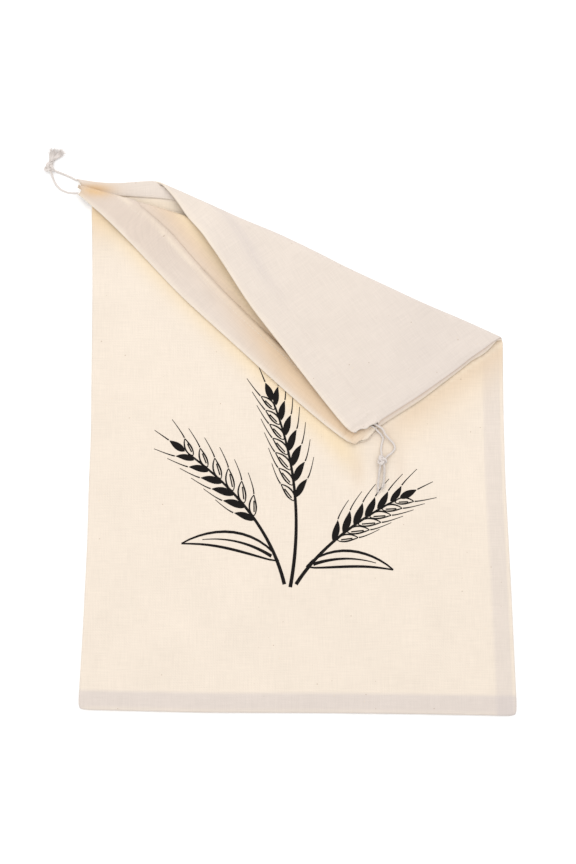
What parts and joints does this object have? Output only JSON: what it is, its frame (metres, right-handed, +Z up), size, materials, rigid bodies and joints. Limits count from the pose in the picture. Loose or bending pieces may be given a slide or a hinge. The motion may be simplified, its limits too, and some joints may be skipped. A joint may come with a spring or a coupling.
{
  "type": "linen bread bag",
  "caption": "Flat linen drawstring bread bag lying front side up, one mouth corner folded over, cord ends tied in knots.",
  "frame": {"origin": "on the flat underside of the bag, on its middle line, 180 mm above its bottom edge", "axes": "+Z up from the surface it lies on, +Y toward the mouth, +X toward the sewn side seam"},
  "size_m": [0.3268, 0.3942, 0.0127],
  "materials": {
    "linen": "plain woven, cream, slightly creased",
    "cord": "twisted off white cotton"
  },
  "bodies": {
    "root": {"bag": "linen", "left_strand_back": "cord", "left_strand_front": "cord", "left_knot": "cord", "right_strand_short": "cord", "right_strand_long": "cord", "right_knot": "cord"}
  },
  "joints": []
}
